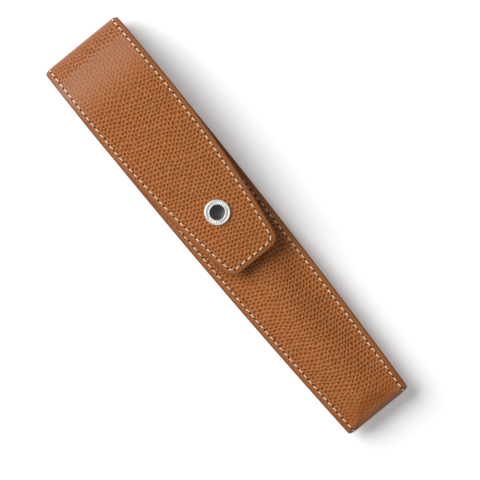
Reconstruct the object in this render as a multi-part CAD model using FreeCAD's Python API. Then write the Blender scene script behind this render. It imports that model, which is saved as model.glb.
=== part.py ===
"""A slim leather sleeve for one pen, closed by a flap with a press stud.

X runs from the flap's fold to the foot, Y to the right of the front, Z up out of the front.
The sleeve lies on its back, and its origin is under the middle of its box.
"""
import FreeCAD, Part
import math
import os

V = FreeCAD.Vector

# Sizes of the sleeve seen from above, in millimetres
sleeve_length = 170.0
widest_width = 33.6
widest_from_fold = 39.6
foot_width = 27.0
corner_radius = 1.1

# Sheets that it is made of
leather_thickness = 1.2
lining_thickness = 0.6

# Pressed border that the side seams run in, and the crowned front and back between them
seam_height = 7.0
seam_land = 2.8
mouth_from_fold = 32.0
mouth_height = 14.3
foot_height = 11.2
foot_turn = 11.0
back_relief = 0.25

# Fold at the top, made of narrow strips that unbend
fold_radius = 6.0
fold_base = 0.5
fold_sweep = 160.0
fold_strips = 3
strip_gap = 0.1

# Flap
flap_length = 99.9
flap_taper_from_fold = 30.6
flap_tip_width = 22.0
flap_corner_radius = 4.4
flap_clearance = 0.8
shoulder_radius = 36.0
droop_length = 14.0
droop = 0.6

# Sewing
stitch_pitch = 2.62
stitch_inset = 2.0
stitch_width = 0.55
stitch_height = 0.25
stitch_clearance = 0.05
stitch_length_share = 0.76
stitch_top_share = 0.6
stitches_per_strip = 2

# Press stud
snap_from_tip = 21.9
cap_diameter = 9.5
cap_height = 0.9
cap_edge_height = 0.35
cap_ring_width = 2.1
inlay_depth = 0.4
inlay_thickness = 0.25
inlay_clearance = 0.05
post_diameter = 2.8
hole_clearance = 0.05
rivet_diameter = 3.7
rivet_thickness = 0.3
socket_diameter = 8.2
socket_height = 2.0
socket_plate = 0.45
socket_mouth_diameter = 4.3
socket_edge = 0.4
groove_diameter = 5.4
groove_height = 0.65
socket_lip = 0.25
spring_wire = 0.55
spring_bore = 3.4
spring_opening = 50.0
spring_sides = 6
stud_diameter = 7.6
stud_flange = 0.4
stud_head_diameter = 3.6
stud_neck_diameter = 3.0
stud_neck_share = 0.68
stud_head_share = 0.88
stud_head_gap = 0.2
stud_bore_diameter = 2.0
stud_seat = 0.35
stud_wall = 0.3
stud_post_diameter = 1.9
stud_post_flange_diameter = 6.0
stud_post_flange = 0.35
stud_post_seat = 0.1
snap_clearance = 0.15

# How far cutting bodies reach past what they cut
overrun = 5.0

# Places worked out from those sizes
thread_proud = stitch_height + stitch_clearance
fold_x = (thread_proud - sleeve_length) / 2
foot_x = fold_x + sleeve_length
bend_x = fold_x + fold_radius
mouth_x = fold_x + mouth_from_fold
turn_x = foot_x - foot_turn
tip_x = fold_x + flap_length
snap_x = tip_x - snap_from_tip
taper_x = fold_x + flap_taper_from_fold
widest_x = fold_x + widest_from_fold
wall = leather_thickness + lining_thickness
reach = widest_width / 2 + overrun
ceiling = 2 * mouth_height

# Side arc: a circle that touches the widest width and passes through the foot's corner
side_drop = (widest_width - foot_width) / 2
side_radius = ((foot_x - widest_x) ** 2 + side_drop ** 2) / (2 * side_drop)


def half_width(x):
    """Half the strip's width at x, on one circular arc per side."""
    sag = side_radius - math.sqrt(side_radius ** 2 - (x - widest_x) ** 2)
    return widest_width / 2 - sag


def front_crown(x):
    """Height of the front's outside along its middle line: a straight taper from mouth to foot."""
    share = (x - mouth_x) / (turn_x - mouth_x)
    return mouth_height + (foot_height - mouth_height) * share


# Border of the back between mouth and fold: a double bend of two equal arcs down to the fold's base
bend_drop = seam_height - wall - fold_base
bend_run = mouth_x - bend_x
bend_angle = 2 * math.atan2(bend_drop, bend_run)
bend_radius = bend_run / (2 * math.sin(bend_angle))


def back_border(x):
    """Height of the underside of the back's border at x."""
    if x > mouth_x:
        return seam_height - wall
    if x > (mouth_x + bend_x) / 2:
        return seam_height - wall - bend_radius + math.sqrt(bend_radius ** 2 - (mouth_x - x) ** 2)
    return fold_base + bend_radius - math.sqrt(bend_radius ** 2 - (x - bend_x) ** 2)


# Flap in side view: ramp from the fold, shoulder arc, level stretch, drooping tip
ramp = math.radians(180.0 - fold_sweep)
fold_z = fold_base + fold_radius
stud_proud = stud_flange - stud_seat
snap_gap = stud_proud + snap_clearance + socket_height
flap_under = max(front_crown(snap_x) + snap_gap, mouth_height + flap_clearance)
flap_top = flap_under + wall
leave_x = bend_x - fold_radius * math.sin(ramp)
leave_z = fold_z + fold_radius * math.cos(ramp)
shoulder_rise = shoulder_radius * (1 - math.cos(ramp))
ramp_length = (flap_top - leave_z - shoulder_rise) / math.sin(ramp)
shoulder_x = leave_x + ramp_length * math.cos(ramp) + shoulder_radius * math.sin(ramp)
droop_x = tip_x - droop_length
droop_radius = (droop_length ** 2 + droop ** 2) / (2 * droop)


def flap_point(x, depth):
    """Point of the flap's side view above x, at a depth under its outside, with its outward normal."""
    ramp_end_x = leave_x + ramp_length * math.cos(ramp)
    if x < ramp_end_x:
        angle = -ramp
        z = leave_z + (x - leave_x) * math.tan(ramp)
    elif x < shoulder_x:
        angle = -math.asin((shoulder_x - x) / shoulder_radius)
        z = flap_top - shoulder_radius * (1 - math.cos(angle))
    elif x < droop_x:
        angle = 0.0
        z = flap_top
    else:
        angle = math.asin((x - droop_x) / droop_radius)
        z = flap_top - droop_radius * (1 - math.cos(angle))
    normal = V(math.sin(angle), 0, math.cos(angle))
    return V(x, 0, z) - normal * depth, normal


def fold_point(angle, depth):
    """Point of the fold's side view, by its angle from the back's end, at a depth under its outside."""
    normal = V(-math.sin(angle), 0, -math.cos(angle))
    return V(bend_x, 0, fold_z) + normal * (fold_radius - depth), normal


def line(start, end):
    return Part.LineSegment(start, end).toShape()


def arc(start, middle, end):
    return Part.Arc(start, middle, end).toShape()


def prism(edges, low, high):
    """Upright prism on a closed outline that lies at zero height."""
    face = Part.Face(Part.Wire(edges))
    face.translate(V(0, 0, low))
    return face.extrude(V(0, 0, high - low))


def rounded_corners(body, x, radius):
    """The prism with its upright corner edges at x rounded."""
    corners = [e for e in body.Edges if len(e.Vertexes) == 2
               and all(abs(v.X - x) < strip_gap for v in e.Vertexes)
               and abs(e.Vertexes[0].Y - e.Vertexes[1].Y) < strip_gap]
    return body.makeFillet(radius, corners)


def side_arc(start_x, end_x, side):
    """The strip's side between two stations, on the right (1) or the left (-1)."""
    return arc(*[V(x, side * half_width(x), 0) for x in (start_x, (start_x + end_x) / 2, end_x)])


def strip_prism():
    """Outline of the whole strip seen from above, as a tall prism."""
    edges = [side_arc(fold_x, foot_x, 1),
             line(V(foot_x, half_width(foot_x), 0), V(foot_x, -half_width(foot_x), 0)),
             side_arc(foot_x, fold_x, -1),
             line(V(fold_x, -half_width(fold_x), 0), V(fold_x, half_width(fold_x), 0))]
    return rounded_corners(prism(edges, -overrun, ceiling), foot_x, corner_radius)


def flap_half_width(x):
    """Half the flap's width: the strip's, then an arc that draws in to the tip."""
    start = half_width(taper_x)
    drop = start - flap_tip_width / 2
    radius = ((tip_x - taper_x) ** 2 + drop ** 2) / (2 * drop)
    return start - radius + math.sqrt(radius ** 2 - (x - taper_x) ** 2)


def flap_prism():
    """Outline of the flap seen from above, as a tall prism with a rounded tip."""
    middle_x = (taper_x + tip_x) / 2
    taper = [V(x, flap_half_width(x), 0) for x in (taper_x, middle_x, tip_x)]
    mirrored = [V(p.x, -p.y, 0) for p in reversed(taper)]
    edges = [side_arc(fold_x, taper_x, 1), arc(*taper), line(taper[-1], mirrored[0]), arc(*mirrored),
             side_arc(taper_x, fold_x, -1),
             line(V(fold_x, -half_width(fold_x), 0), V(fold_x, half_width(fold_x), 0))]
    return rounded_corners(prism(edges, -overrun, ceiling), tip_x, flap_corner_radius)


def fold_prism():
    """Outline of the fold seen from above: straight sides and rounded corners, as a tall prism."""
    side = half_width(bend_x)
    body = Part.makeBox(fold_radius + overrun, 2 * side, overrun + ceiling, V(fold_x, -side, -overrun))
    return rounded_corners(body, fold_x, corner_radius)


def side_view(depth, start_x):
    """Side view of the sleeve at a depth into its sheets: level back, two arcs round the foot, open top."""
    nose = V(foot_x - wall, 0, seam_height)
    nose_radius = wall - depth

    def turn(height):
        """Centre and radius of the arc from the level face at a height round to the foot's tight turn."""
        rise = abs(height - seam_height)
        run = foot_turn - wall
        radius = (run ** 2 + rise ** 2 - wall ** 2) / (2 * (rise - wall))
        way = 1 if height > seam_height else -1
        return V(turn_x, 0, height - way * radius), radius, V(0, 0, way)

    def turn_arc(height):
        centre, radius, up = turn(height)
        toward = (nose - centre).normalize()
        start = centre + up * (radius - depth)
        end = centre + toward * (radius - depth)
        middle = centre + (up + toward).normalize() * (radius - depth)
        return start, middle, end

    low, high = turn_arc(0.0), turn_arc(foot_height)
    edges = [line(V(start_x, 0, depth), low[0]), arc(*low), arc(*reversed(high)),
             line(high[0], V(turn_x, 0, ceiling)), line(V(turn_x, 0, ceiling), V(start_x, 0, ceiling)),
             line(V(start_x, 0, ceiling), V(start_x, 0, depth))]
    if nose_radius > 0:
        edges.append(arc(low[2], nose + V(nose_radius, 0, 0), high[2]))
    return across(Part.Face(Part.Wire(Part.__sortEdges__(edges))))


def front_cone(depth):
    """Front's crown as a cone whose top line tapers from mouth to foot, at a depth into its sheets."""
    land_z = seam_height + wall
    ends = [V(mouth_x, 0, mouth_height), V(turn_x, 0, foot_height)]
    radii = []
    for end in ends:
        rise = end.z - land_z
        half_chord = half_width(end.x) - seam_land
        radii.append((half_chord ** 2 + rise ** 2) / (2 * rise))
    top_line = ends[1] - ends[0]
    lean = math.asin((radii[1] - radii[0]) / top_line.Length)
    tilt = lean - math.atan2(top_line.z, top_line.x)
    axis, outward = V(math.cos(tilt), 0, -math.sin(tilt)), V(math.sin(tilt), 0, math.cos(tilt))
    stretch = overrun + foot_turn
    along = V(top_line).normalize()
    starts = ends[0] - along * stretch
    start_radius = radii[0] - stretch * math.sin(lean) - depth / math.cos(lean)
    length = top_line.Length + 2 * stretch
    end_radius = start_radius + length * math.sin(lean)
    centre = starts - outward * (start_radius + depth / math.cos(lean))
    return Part.makeCone(start_radius, end_radius, length * math.cos(lean), centre, axis)


back_drop = seam_height - wall + back_relief
back_chord = half_width(turn_x) - seam_land
back_radius = (back_chord ** 2 + back_drop ** 2) / (2 * back_drop)


def slab(low, high, start_x, end_x):
    """Block across the whole width between two heights and two stations."""
    return Part.makeBox(end_x - start_x, 2 * reach, high - low, V(start_x, -reach, low))


def sleeve_body(depth):
    """The sleeve from mouth to foot at a depth into its sheets: border slab, crowned front, crowned back."""
    end_x = foot_x + overrun
    border = wall - depth
    above = slab(seam_height, ceiling, mouth_x, end_x)
    below = slab(-overrun, seam_height, mouth_x, end_x)
    back = Part.makeCylinder(back_radius - depth, end_x - mouth_x,
                             V(mouth_x, 0, back_radius - back_relief), V(1, 0, 0))
    body = front_cone(depth).common(above).fuse(back.common(below))
    if border > 0:
        body = body.fuse(slab(seam_height - border, seam_height + border, mouth_x, end_x))
    return body.removeSplitter().common(side_view(depth, mouth_x))


def back_body(depth):
    """Space over the back between mouth and fold at a depth: over the border's double bend and its hollow."""
    high = V(mouth_x, 0, seam_height - wall - bend_radius)
    low = V(bend_x, 0, fold_base + bend_radius)
    turns = (0.0, bend_angle / 2, bend_angle)
    upper = [high + V(-math.sin(a), 0, math.cos(a)) * (bend_radius + depth) for a in turns]
    lower = [low + V(math.sin(a), 0, -math.cos(a)) * (bend_radius - depth) for a in reversed(turns)]
    top = [V(bend_x, 0, ceiling), V(mouth_x, 0, ceiling)]
    edges = [arc(*upper), arc(*lower), line(lower[-1], top[0]), line(*top), line(top[1], upper[0])]
    floor = [lower[-1], V(mouth_x, 0, depth), top[1], top[0], lower[-1]]
    over_border = across(Part.Face(Part.Wire(edges)))
    over_floor = across(Part.Face(Part.makePolygon(floor)))
    hollow = Part.makeCylinder(back_radius - depth, mouth_x - bend_x,
                               V(bend_x, 0, back_radius - back_relief), V(1, 0, 0))
    room = slab(-overrun, ceiling, bend_x + strip_gap / 2, mouth_x)
    return over_border.fuse(hollow.common(over_floor)).common(room)


def disc(radius, low, high, x):
    return Part.makeCylinder(radius, high - low, V(x, 0, low))


def snap_levels():
    """Heights of the stud's seat on the front and of its post's seat on the lining."""
    crown = front_crown(snap_x)
    return crown - stud_seat, crown - wall + stud_post_seat


def make_sleeve():
    """Leather and lining of the sleeve, with flat seats and a hole for the stud."""
    depths = (0.0, leather_thickness, wall)
    outside, inside, pocket = [sleeve_body(depth) for depth in depths]
    back_outside, back_inside, back_pocket = [back_body(depth) for depth in depths]
    strip = strip_prism()
    stud_z, post_z = snap_levels()
    hole = disc(stud_post_diameter / 2 + hole_clearance, seam_height, ceiling, snap_x)
    stud_room = disc(stud_diameter / 2 + hole_clearance, stud_z, ceiling, snap_x)
    post_room = disc(stud_post_flange_diameter / 2 + hole_clearance, seam_height, post_z, snap_x)
    leather = outside.cut(inside).common(strip).fuse(back_outside.cut(back_inside).common(strip))
    lining = inside.cut(pocket).common(strip).fuse(back_inside.cut(back_pocket).common(strip))
    return leather.cut(stud_room).cut(hole), lining.cut(post_room).cut(hole)


def across(face):
    """A side-view face carried across the whole width."""
    face.translate(V(0, -reach, 0))
    return face.extrude(V(0, 2 * reach, 0))


def fold_sector(start, end, outer_depth, inner_depth):
    """One strip of the fold, between two angles and two depths."""
    middle = (start + end) / 2
    outer = [fold_point(a, outer_depth)[0] for a in (start, middle, end)]
    inner = [fold_point(a, inner_depth)[0] for a in (end, middle, start)]
    edges = [arc(*outer), line(outer[-1], inner[0]), arc(*inner), line(inner[-1], outer[0])]
    return across(Part.Face(Part.Wire(edges))).common(fold_prism())


def flap_sheet(outer_depth, inner_depth):
    """The flap's sheet between two depths, cut to its outline."""
    start_x = leave_x + strip_gap / 2 * math.cos(ramp)
    end_x = tip_x + overrun
    ramp_end_x = leave_x + ramp_length * math.cos(ramp)

    def side(depth):
        xs = (start_x, ramp_end_x, (ramp_end_x + shoulder_x) / 2, shoulder_x,
              droop_x, (droop_x + end_x) / 2, end_x)
        p = [flap_point(x, depth)[0] for x in xs]
        return p, [line(p[0], p[1]), arc(p[1], p[2], p[3]), line(p[3], p[4]), arc(p[4], p[5], p[6])]

    outer, outer_edges = side(outer_depth)
    inner, inner_edges = side(inner_depth)
    edges = outer_edges + inner_edges + [line(outer[0], inner[0]), line(outer[-1], inner[-1])]
    return across(Part.Face(Part.Wire(Part.__sortEdges__(edges)))).common(flap_prism())


def make_flap():
    """Leather and lining of the flap, with the hole for the cap's post."""
    hole = disc(post_diameter / 2 + hole_clearance, flap_under - overrun, ceiling, snap_x)
    return flap_sheet(0.0, leather_thickness).cut(hole), flap_sheet(leather_thickness, wall).cut(hole)


def stitch(point, along, normal, length):
    """One stitch: a low ridge with sloping ends, lying on the leather along the seam."""
    half, half_top = length / 2, length / 2 * stitch_top_share
    side = stitch_width / 2
    block = Part.makeWedge(-half, 0, -side, 0, -half_top, half, stitch_height, side, 0, half_top)
    across_way = along.cross(normal)
    base = point + normal * stitch_clearance
    block.Placement = FreeCAD.Placement(FreeCAD.Matrix(
        along.x, normal.x, across_way.x, base.x, along.y, normal.y, across_way.y, base.y,
        along.z, normal.z, across_way.z, base.z, 0, 0, 0, 1))
    return block


def side_row(side, start_x, end_x, level):
    """Stitches along one side of the sleeve between two stations, on the surface that level gives."""
    count = int((end_x - start_x) / stitch_pitch)
    step = (end_x - start_x) / count
    blocks = []
    for number in range(count):
        x = start_x + step * (number + 0.5)
        here, there = x - step / 2, x + step / 2
        ends = [V(s, side * (half_width(s) - stitch_inset), level(s)) for s in (here, there)]
        along = (ends[1] - ends[0]).normalize()
        flat_side = V(0, 0, 1) if level(x) > seam_height else V(0, 0, -1)
        normal = (flat_side - along * flat_side.dot(along)).normalize()
        middle = V(x, side * (half_width(x) - stitch_inset), level(x))
        blocks.append(stitch(middle, along, normal, step * stitch_length_share))
    return blocks


def make_side_seam(side):
    """Both faces of one side seam: the front from mouth to foot, the back from fold to foot."""
    end_x = foot_x - stitch_inset / 2
    front = side_row(side, mouth_x + stitch_inset / 2, end_x, lambda x: seam_height + wall)
    back = side_row(side, bend_x + strip_gap, end_x, back_border)
    return Part.makeCompound(front + back)


def make_mouth_seam():
    """Stitches across the front, along the mouth, on the crown's arc."""
    x = mouth_x + stitch_inset
    rise = front_crown(x) - seam_height - wall
    half_chord = half_width(x) - seam_land
    radius = (half_chord ** 2 + rise ** 2) / (2 * rise)
    spread = math.asin(half_chord / radius)
    count = int(2 * spread * radius / stitch_pitch)
    blocks = []
    for number in range(count):
        angle = spread * ((2 * number + 1) / count - 1)
        normal = V(0, math.sin(angle), math.cos(angle))
        point = V(x, 0, front_crown(x) - radius) + normal * radius
        along = V(0, math.cos(angle), -math.sin(angle))
        blocks.append(stitch(point, along, normal, stitch_pitch * stitch_length_share))
    return Part.makeCompound(blocks)


def make_fold_seam(start, end):
    """Stitches of one fold strip, on its outside and on its lining, at both sides."""
    step = (end - start) / stitches_per_strip
    y = half_width(bend_x) - stitch_inset
    blocks = []
    for number in range(stitches_per_strip):
        angle = start + step * (number + 0.5)
        for side in (-1, 1):
            for depth, way in ((0.0, 1), (wall + stitch_clearance, -1)):
                point, normal = fold_point(angle, depth)
                along = V(-math.cos(angle), 0, math.sin(angle))
                length = (fold_radius - depth) * step * stitch_length_share
                blocks.append(stitch(point + V(0, side * y, 0), along, normal * way, length))
    return Part.makeCompound(blocks)


def make_flap_seam():
    """Stitches round the flap's border, on its outside and on its lining."""
    outline = [f for f in flap_prism().Faces if f.normalAt(0, 0).z < -0.5][0]
    seam = outline.makeOffset2D(-stitch_inset)
    edges = [e for e in seam.Edges if e.BoundBox.XMax > bend_x]
    wire = Part.Wire(Part.__sortEdges__(edges))
    points = [p for p in wire.discretize(Distance=stitch_pitch / 2) if p.x > leave_x + strip_gap]
    blocks = []
    for before, middle, after in zip(points[0::2], points[1::2], points[2::2]):
        for depth, way in ((0.0, 1), (wall, -1)):
            place, normal = flap_point(middle.x, depth)
            flat = V(after.x - before.x, after.y - before.y, 0).normalize()
            along = (flat - normal * flat.dot(normal)).normalize()
            blocks.append(stitch(V(place.x, middle.y, place.z), along, normal * way,
                                 stitch_pitch * stitch_length_share))
    return Part.makeCompound(blocks)


def turned(points, base_z):
    """A round piece on the snap's axis, turned from a profile of radius and height pairs."""
    profile = [V(r, 0, z) for r, z in points]
    wire = Part.makePolygon(profile + profile[:1])
    body = Part.Face(wire).revolve(V(0, 0, 0), V(0, 0, 1), 360)
    body.translate(V(snap_x, 0, base_z))
    return body


def make_cap():
    """Cap over the flap with a ring round a sunk centre, and its post riveted under the socket's plate."""
    rim, post, rivet = cap_diameter / 2, post_diameter / 2, rivet_diameter / 2
    well = rim - cap_ring_width
    bevel = cap_height - cap_edge_height
    plate_z = -wall - socket_plate
    return turned([(0, cap_height - inlay_depth), (well, cap_height - inlay_depth), (well, cap_height),
                   (rim - bevel, cap_height), (rim, cap_edge_height), (rim, 0),
                   (post, 0), (post, plate_z), (rivet, plate_z),
                   (rivet, plate_z - rivet_thickness / 2), (post, plate_z - rivet_thickness),
                   (0, plate_z - rivet_thickness)], flap_top)


def make_inlay():
    """Dark centre of the cap, a low dome in the ring's well."""
    radius = cap_diameter / 2 - cap_ring_width - inlay_clearance
    floor = cap_height - inlay_depth
    return turned([(0, floor), (radius, floor), (radius, floor + inlay_thickness / 2),
                   (radius / 2, floor + inlay_thickness), (0, floor + inlay_thickness)], flap_top)


def socket_depth():
    """Height of the socket under the flap, down to just above the stud's flange."""
    return flap_under - front_crown(snap_x) - stud_proud - snap_clearance


def make_socket():
    """Socket under the flap: a plate held by the cap's post, a wall, and a groove for the spring."""
    rim, mouth, groove = socket_diameter / 2, socket_mouth_diameter / 2, groove_diameter / 2
    depth = socket_depth()
    hole = post_diameter / 2 + hole_clearance
    groove_z = socket_lip - depth
    return turned([(hole, 0), (rim, 0), (rim, socket_edge - depth), (rim - socket_edge, -depth),
                   (mouth, -depth), (mouth, groove_z), (groove, groove_z), (groove, groove_z + groove_height),
                   (mouth, groove_z + groove_height), (mouth, -socket_plate),
                   (hole, -socket_plate)], flap_under)


def make_spring():
    """Open wire ring in the socket's groove that closes round the stud's neck."""
    z = flap_under - socket_depth() + socket_lip + groove_height / 2
    wire = spring_wire / 2
    middle = spring_bore / 2 + wire
    turns = [2 * math.pi * side / spring_sides for side in range(spring_sides)]
    corners = [V(middle + wire * math.cos(turn), 0, wire * math.sin(turn)) for turn in turns]
    section = Part.Face(Part.makePolygon(corners + corners[:1]))
    ring = section.revolve(V(0, 0, 0), V(0, 0, 1), 360.0 - spring_opening)
    ring.translate(V(snap_x, 0, z))
    return ring


def make_stud():
    """Stud on the front: a flange, a neck and a round head, hollow for its post."""
    seat_z = snap_levels()[0]
    flange, neck, head = stud_diameter / 2, stud_neck_diameter / 2, stud_head_diameter / 2
    bore = stud_bore_diameter / 2
    top = flap_under - socket_plate - rivet_thickness - stud_head_gap - seat_z
    rise = top - stud_flange
    neck_z, head_z = stud_flange + rise * stud_neck_share, stud_flange + rise * stud_head_share
    return turned([(bore, 0), (flange, 0), (flange, stud_flange / 2), (flange - stud_flange / 2, stud_flange),
                   (neck, stud_flange), (neck, neck_z), (head, head_z), (head - stud_wall, top), (0, top),
                   (0, top - stud_wall), (bore, top - stud_wall)], seat_z)


def make_stud_post():
    """Post that holds the stud: a flat head on the lining and a shank up into the stud."""
    stud_z, post_z = snap_levels()
    flange, shank = stud_post_flange_diameter / 2, stud_post_diameter / 2
    top = flap_under - socket_plate - rivet_thickness - stud_head_gap - stud_wall - hole_clearance - post_z
    return turned([(0, -stud_post_flange), (flange - stud_post_flange / 2, -stud_post_flange),
                   (flange, -stud_post_flange / 2), (flange, 0), (shank, 0), (shank, top), (0, top)], post_z)


def build():
    """All the pieces by name."""
    sleeve_leather, sleeve_lining = make_sleeve()
    flap_leather, flap_lining = make_flap()
    pieces = {
        "sleeve_leather": sleeve_leather, "sleeve_lining": sleeve_lining,
        "left_seam_thread": make_side_seam(-1), "right_seam_thread": make_side_seam(1),
        "mouth_seam_thread": make_mouth_seam(), "snap_stud": make_stud(), "snap_stud_post": make_stud_post(),
        "flap_leather": flap_leather, "flap_lining": flap_lining, "flap_seam_thread": make_flap_seam(),
        "snap_cap": make_cap(), "snap_cap_inlay": make_inlay(), "snap_socket": make_socket(),
        "snap_spring": make_spring()}
    sweep = math.radians(fold_sweep)
    trim = strip_gap / 2 / fold_radius
    for number in range(fold_strips):
        start = sweep * number / fold_strips + trim
        end = sweep * (number + 1) / fold_strips - trim
        name = str(number + 1)
        pieces["fold_leather_" + name] = fold_sector(start, end, 0.0, leather_thickness)
        pieces["fold_lining_" + name] = fold_sector(start, end, leather_thickness, wall)
        pieces["fold_thread_" + name] = make_fold_seam(start, end)
    return pieces


def main():
    os.makedirs("parts", exist_ok=True)
    for name, shape in build().items():
        shape.exportStep("parts/" + name + ".step")
        box = shape.BoundBox
        print(name, len(shape.Solids), "solids", round(shape.Volume, 2), "mm3",
              [round(v, 2) for v in (box.XMin, box.YMin, box.ZMin, box.XMax, box.YMax, box.ZMax)])
    sweep = math.radians(fold_sweep)
    for number in range(fold_strips + 1):
        pivot = fold_point(sweep * number / fold_strips, 0.0)[0]
        print("fold hinge", number + 1, round(pivot.x, 4), round(pivot.z, 4))
    print("flap top", round(flap_top, 3), "ramp", round(ramp_length, 2), "level from", round(shoulder_x, 2))
    print("crown at stud", round(front_crown(snap_x), 3), "snap at", round(snap_x, 2))


main()
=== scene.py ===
"""Finished look of a slim leather sleeve for one pen, laid out as a Blender add-on.

One strip of pebbled leather with a thin lining makes the back, turns up round the foot into the front,
and folds over at the top into a flap. Cream thread runs along every border, and a press stud closes the flap.
"""

import copy
import math

import bmesh
import bpy
import numpy as np
from bpy.props import FloatProperty, FloatVectorProperty, IntProperty, PointerProperty
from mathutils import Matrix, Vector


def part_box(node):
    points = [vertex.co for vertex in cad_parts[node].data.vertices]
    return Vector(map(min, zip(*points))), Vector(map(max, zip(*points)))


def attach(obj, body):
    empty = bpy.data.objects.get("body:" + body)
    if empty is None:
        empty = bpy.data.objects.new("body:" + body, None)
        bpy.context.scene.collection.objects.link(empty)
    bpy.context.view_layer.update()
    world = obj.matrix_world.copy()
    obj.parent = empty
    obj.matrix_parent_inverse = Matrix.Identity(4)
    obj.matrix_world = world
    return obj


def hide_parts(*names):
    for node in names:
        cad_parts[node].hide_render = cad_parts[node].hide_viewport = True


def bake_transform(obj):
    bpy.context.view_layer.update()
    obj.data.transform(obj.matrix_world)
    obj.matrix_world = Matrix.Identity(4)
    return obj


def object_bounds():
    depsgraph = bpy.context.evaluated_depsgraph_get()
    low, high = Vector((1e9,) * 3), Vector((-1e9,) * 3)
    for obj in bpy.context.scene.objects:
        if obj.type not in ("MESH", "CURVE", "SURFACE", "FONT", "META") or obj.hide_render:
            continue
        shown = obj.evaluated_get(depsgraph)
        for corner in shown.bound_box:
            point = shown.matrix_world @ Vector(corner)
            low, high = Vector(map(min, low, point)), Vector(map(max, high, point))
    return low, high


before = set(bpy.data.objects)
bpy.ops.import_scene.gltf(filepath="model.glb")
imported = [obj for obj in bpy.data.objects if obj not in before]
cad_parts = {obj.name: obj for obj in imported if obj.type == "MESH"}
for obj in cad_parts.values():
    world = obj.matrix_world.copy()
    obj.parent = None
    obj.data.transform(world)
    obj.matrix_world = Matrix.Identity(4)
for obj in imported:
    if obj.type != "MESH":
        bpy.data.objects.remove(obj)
CAD_BOX = [[float(v) for v in corner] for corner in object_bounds()]

bl_info = {
    "name": "Pen Sleeve",
    "version": (1, 0, 0),
    "blender": (4, 5, 0),
    "location": "3D View > Sidebar > Pen Sleeve",
    "description": "Makes a stitched leather sleeve for one pen, with a flap and a press stud",
    "category": "Add Mesh",
}

MM = 0.001


# Sizes and colours a user would change

def length(name, description, millimetres):
    """A length property, given in millimetres and kept in metres."""
    return FloatProperty(name=name, description=description, default=millimetres * MM, unit="LENGTH",
                         precision=5)


def degrees(name, description, value):
    """An angle property, given in degrees and kept in radians."""
    return FloatProperty(name=name, description=description, default=math.radians(value), subtype="ANGLE")


def colour(name, description, value):
    """A colour property, in linear light."""
    return FloatVectorProperty(name=name, description=description, default=value, subtype="COLOR", size=3,
                               min=0.0, max=1.0)


class PenSleeveSizes(bpy.types.PropertyGroup):
    """Lengths of the sleeve, its seams and its press stud."""

    sleeve_length: length("Sleeve length", "Top fold to foot", 170.0)
    widest_width: length("Widest width", "Width a little below the fold", 33.6)
    widest_from_fold: length("Widest from fold", "Distance of the widest place from the fold", 39.6)
    foot_width: length("Foot width", "Width at the foot", 27.0)
    corner_radius: length("Corner radius", "Rounding of the strip's corners at fold and foot", 0.65)
    leather_thickness: length("Leather thickness", "Thickness of the outer leather", 1.2)
    lining_thickness: length("Lining thickness", "Thickness of the lining", 0.6)
    seam_height: length("Seam height", "Height of the plane where front and back meet", 7.0)
    seam_land: length("Seam land", "Width of the flat border that is sewn", 2.8)
    mouth_from_fold: length("Mouth from fold", "Distance of the front's upper rim from the fold", 32.0)
    mouth_height: length("Mouth height", "Height of the front at its upper rim", 14.3)
    foot_height: length("Foot height", "Height of the front where it turns down to the foot", 11.2)
    front_dip: length("Front dip", "How far the front sinks past the press stud", 0.8)
    foot_turn: length("Foot turn", "Length over which the front turns down to the foot", 11.0)
    hollow_width: length("Hollow width", "Width of the back's rounded underside", 22.4)
    fold_radius: length("Fold radius", "Outer radius of the top fold", 6.0)
    fold_base: length("Fold base", "Height of the strip where the fold starts", 0.5)
    flap_length: length("Flap length", "Fold to the flap's tip", 99.9)
    flap_taper_from_fold: length("Flap taper from fold", "Where the flap begins to narrow", 30.6)
    flap_tip_width: length("Flap tip width", "Width of the flap at its tip", 22.0)
    flap_corner_radius: length("Flap corner radius", "Rounding of the flap's corners", 4.4)
    flap_top: length("Flap top", "Height of the level part of the flap", 17.177)
    flap_crown: length("Flap crown", "How far the flap's sides hang below its middle", 0.35)
    shoulder_radius: length("Shoulder radius", "Bend between the flap's ramp and its level part", 36.0)
    droop_length: length("Droop length", "Length of the flap's drooping tip", 14.0)
    droop: length("Droop", "Drop of the flap's tip", 0.6)
    stitch_pitch: length("Stitch pitch", "Distance between needle holes", 2.62)
    stitch_inset: length("Stitch inset", "Distance of the stitches from the edge", 2.1)
    stitch_length: length("Stitch length", "Length of one stitch", 1.92)
    stitch_width: length("Stitch width", "Width of the thread", 0.42)
    stitch_slant: length("Stitch slant", "How far a stitch's ends lie off the seam", 0.10)
    stitch_rise: length("Stitch rise", "How far a stitch stands above its groove", 0.30)
    groove_depth: length("Groove depth", "How far the thread pulls the leather down", 0.16)
    needle_hole: length("Needle hole", "Width of a needle hole", 0.58)
    edge_thinning: length("Edge thinning", "How much the leather is thinned at its edge", 0.32)
    cap_diameter: length("Cap diameter", "Diameter of the press stud's cap", 9.5)
    cap_height: length("Cap height", "Height of the cap above the flap", 0.9)
    cap_ring_width: length("Cap ring width", "Width of the cap's pale ring", 2.1)
    inlay_depth: length("Inlay depth", "How far the cap's dark centre lies below its ring", 0.4)


class PenSleeveShape(bpy.types.PropertyGroup):
    """Angles and counts."""

    fold_sweep: degrees("Fold sweep", "Angle through which the strip folds at the top", 160.0)
    fold_strips: IntProperty(name="Fold strips", description="Hinged strips in the fold", default=3,
                             min=3, max=3)
    camera_turn: degrees("Camera turn", "How far the sleeve lies turned in the picture", 50.84)


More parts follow.
